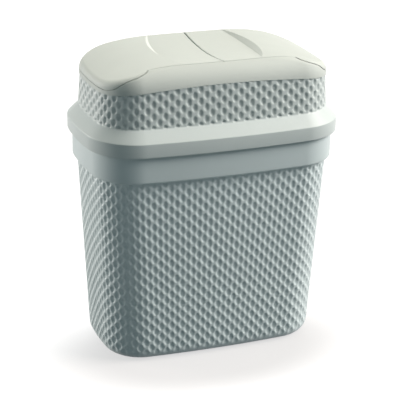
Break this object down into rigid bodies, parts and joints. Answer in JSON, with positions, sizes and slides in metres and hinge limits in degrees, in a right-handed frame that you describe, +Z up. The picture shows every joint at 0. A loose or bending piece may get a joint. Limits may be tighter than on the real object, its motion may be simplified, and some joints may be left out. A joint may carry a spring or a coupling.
{
  "type": "trash can",
  "caption": "Tapered rounded-rectangle kitchen trash can with dimpled walls, a plain rim band, and a lift-off lid whose smooth top opens as two flaps hinged beside its middle.",
  "frame": {"origin": "on the resting surface, under the middle of the can", "axes": "+X to the right along the wide front, -Y out of the front, +Z up"},
  "size_m": [0.27, 0.166, 0.3142],
  "materials": {
    "body_plastic": "satin moulded plastic with a fine dimpled texture",
    "lid_plastic": "satin moulded plastic with a fine dimpled texture on the dome",
    "cap_plastic": "smooth satin moulded plastic",
    "pin_plastic": "plain moulded plastic"
  },
  "bodies": {
    "can": {"body_shell": "body_plastic"},
    "lid": {"lid_ring": "lid_plastic", "top_frame": "cap_plastic", "hinge_pin_left_front": "pin_plastic", "hinge_pin_left_back": "pin_plastic", "hinge_pin_right_front": "pin_plastic", "hinge_pin_right_back": "pin_plastic"},
    "left_flap": {"flap_left": "cap_plastic"},
    "right_flap": {"flap_right": "cap_plastic"}
  },
  "joints": [
    {"name": "lid_lift", "type": "slide", "parent": "can", "child": "lid", "axis": [0, 0, 1], "range_m": [0, 0.06]},
    {"name": "flap_left_hinge", "type": "hinge", "parent": "lid", "child": "left_flap", "pos_m": [-0.014, 0, 0.3093], "axis": [0, 1, 0], "range_deg": [0, 80]},
    {"name": "flap_right_hinge", "type": "hinge", "parent": "lid", "child": "right_flap", "pos_m": [0.014, 0, 0.3093], "axis": [0, -1, 0], "range_deg": [0, 80]}
  ]
}
